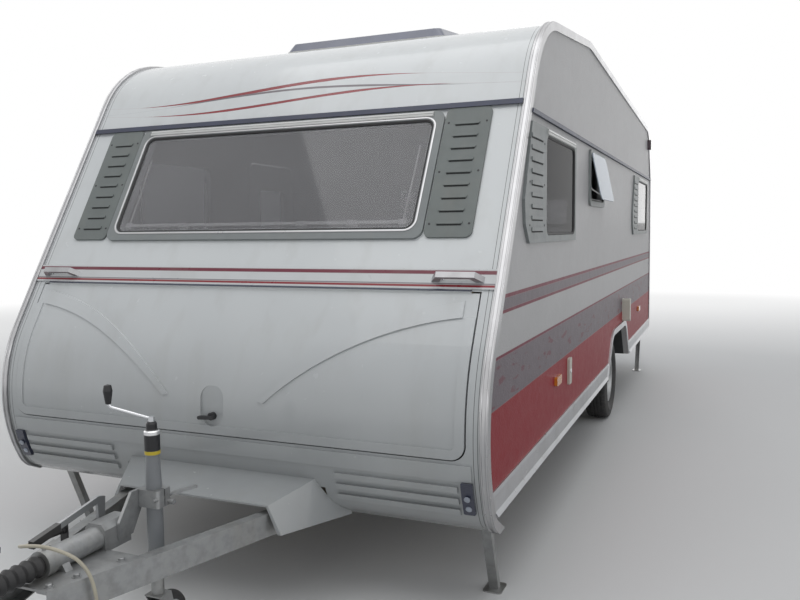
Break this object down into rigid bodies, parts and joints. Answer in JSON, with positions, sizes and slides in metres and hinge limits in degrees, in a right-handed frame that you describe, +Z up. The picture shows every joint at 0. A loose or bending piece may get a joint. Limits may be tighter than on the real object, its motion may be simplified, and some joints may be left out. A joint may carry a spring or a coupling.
{
  "type": "travel caravan",
  "caption": "Travel caravan with a raked nose, gas locker lid, entrance door, road wheels, corner steadies, jockey wheel and ball coupling on an A-frame drawbar.",
  "frame": {"origin": "on the ground, midway along the length over coupling and bumper, on the centre line", "axes": "+X to the left side, away from the entrance door, -Y towards the coupling, +Z up"},
  "size_m": [2.645, 7.866, 2.7531],
  "materials": {
    "panel_white": "smooth glossy moulded panels",
    "wall_white": "hammered, painted in white, red and grey bands",
    "roof_white": "satin painted sheet",
    "trim_alu": "brushed, anodised",
    "galvanised": "hot-dip galvanised, dull",
    "wheel_silver": "silver paint with grime",
    "tyre_rubber": "worn rubber",
    "rubber_black": "matt rubber",
    "black_plastic": "moulded",
    "louvre_grey": "grey-green moulded",
    "smoked_acrylic": "smoked acrylic",
    "dome_acrylic": "clear, milky acrylic",
    "navy_plastic": "dark navy",
    "lamp_lens": "lamp lenses",
    "stripe_white": "white with red stripes",
    "door_white": "painted to match the walls",
    "floor_wood": "sandwich floor with plywood faces",
    "furniture_wood": "wood grain foil",
    "cushion_fabric": "upholstery",
    "grey_plastic": "moulded grey",
    "cream_plastic": "moulded cream",
    "cable_beige": "sheathed cable"
  },
  "bodies": {
    "caravan": {"axle_tube": "galvanised", "body_rails": "navy_plastic", "cable_mounts": "black_plastic", "cable_plug": "black_plastic", "chassis_rails": "galvanised", "coupling_head": "galvanised", "cross_members": "galvanised", "cushions": "cushion_fabric", "door_hinges": "trim_alu", "drawbar_apron": "panel_white", "drawbar_beams": "galvanised", "drawbar_cable": "cable_beige", "drawbar_gaiter": "rubber_black", "drawbar_levers": "galvanised", "edge_trims": "trim_alu", "floor_panel": "floor_wood", "front_cap": "panel_white", "front_lower_panel": "panel_white", "front_upper_panel": "panel_white", "furniture": "furniture_wood", "grab_handles": "grey_plastic", "jockey_clamp": "galvanised", "jockey_crank": "galvanised", "jockey_outer_tube": "galvanised", "lamps": "lamp_lens", "locker_partition": "furniture_wood", "louvre_panels": "louvre_grey", "overrun_housing": "galvanised", "rear_bumper": "panel_white", "rear_wall": "panel_white", "roof_light_domes": "dome_acrylic", "roof_light_frames": "cream_plastic", "roof_panel": "roof_white", "side_skirts": "trim_alu", "side_wall_left": "wall_white", "side_wall_right": "wall_white", "steady_brackets": "galvanised", "stripe_moulding": "stripe_white", "suspension_arms": "galvanised", "wall_vents": "cream_plastic", "wheel_boxes": "grey_plastic", "window_frames": "louvre_grey", "window_panes": "smoked_acrylic"},
    "wheel_left": {"tyre_left": "tyre_rubber", "rim_left": "wheel_silver"},
    "wheel_right": {"tyre_right": "tyre_rubber", "rim_right": "wheel_silver"},
    "door": {"entry_door": "door_white", "door_pane": "smoked_acrylic", "door_fittings": "black_plastic"},
    "lid": {"locker_lid": "panel_white", "lid_latch": "black_plastic"},
    "jockey_leg": {"jockey_inner_tube": "galvanised"},
    "jockey_swivel": {"jockey_fork": "galvanised"},
    "jockey_wheel": {"jockey_tyre": "rubber_black", "jockey_rim": "galvanised"},
    "steady_front_left": {"steady_leg_front_left": "galvanised"},
    "steady_front_right": {"steady_leg_front_right": "galvanised"},
    "steady_rear_left": {"steady_leg_rear_left": "galvanised"},
    "steady_rear_right": {"steady_leg_rear_right": "galvanised"}
  },
  "joints": [
    {"name": "wheel_left_spin", "type": "hinge", "parent": "caravan", "child": "wheel_left", "pos_m": [1.095, 1.205, 0.325], "axis": [1, 0, 0], "continuous": true},
    {"name": "wheel_right_spin", "type": "hinge", "parent": "caravan", "child": "wheel_right", "pos_m": [-1.095, 1.205, 0.325], "axis": [1, 0, 0], "continuous": true},
    {"name": "door_hinge", "type": "hinge", "parent": "caravan", "child": "door", "pos_m": [-1.254, -0.468, 1.28], "axis": [0, 0, 1], "range_deg": [0, 165]},
    {"name": "lid_hinge", "type": "hinge", "parent": "caravan", "child": "lid", "pos_m": [0, -2.4304, 1.324], "axis": [-1, 0, 0], "range_deg": [0, 85]},
    {"name": "jockey_slide", "type": "slide", "parent": "caravan", "child": "jockey_leg", "axis": [0, 0, 1], "range_m": [-0.08, 0.135]},
    {"name": "jockey_swivel_turn", "type": "hinge", "parent": "jockey_leg", "child": "jockey_swivel", "pos_m": [0.1, -3.135, 0.21], "axis": [0, 0, 1], "continuous": true},
    {"name": "jockey_wheel_spin", "type": "hinge", "parent": "jockey_swivel", "child": "jockey_wheel", "pos_m": [0.1, -3.09, 0.1], "axis": [1, 0, 0], "continuous": true},
    {"name": "steady_front_left_fold", "type": "hinge", "parent": "caravan", "child": "steady_front_left", "pos_m": [1.15, -2.345, 0.385], "axis": [1, 0, 0], "range_deg": [0, 63]},
    {"name": "steady_front_right_fold", "type": "hinge", "parent": "caravan", "child": "steady_front_right", "pos_m": [-1.15, -2.345, 0.385], "axis": [1, 0, 0], "range_deg": [0, 63]},
    {"name": "steady_rear_left_fold", "type": "hinge", "parent": "caravan", "child": "steady_rear_left", "pos_m": [1.15, 3.665, 0.385], "axis": [-1, 0, 0], "range_deg": [0, 63]},
    {"name": "steady_rear_right_fold", "type": "hinge", "parent": "caravan", "child": "steady_rear_right", "pos_m": [-1.15, 3.665, 0.385], "axis": [-1, 0, 0], "range_deg": [0, 63]}
  ]
}
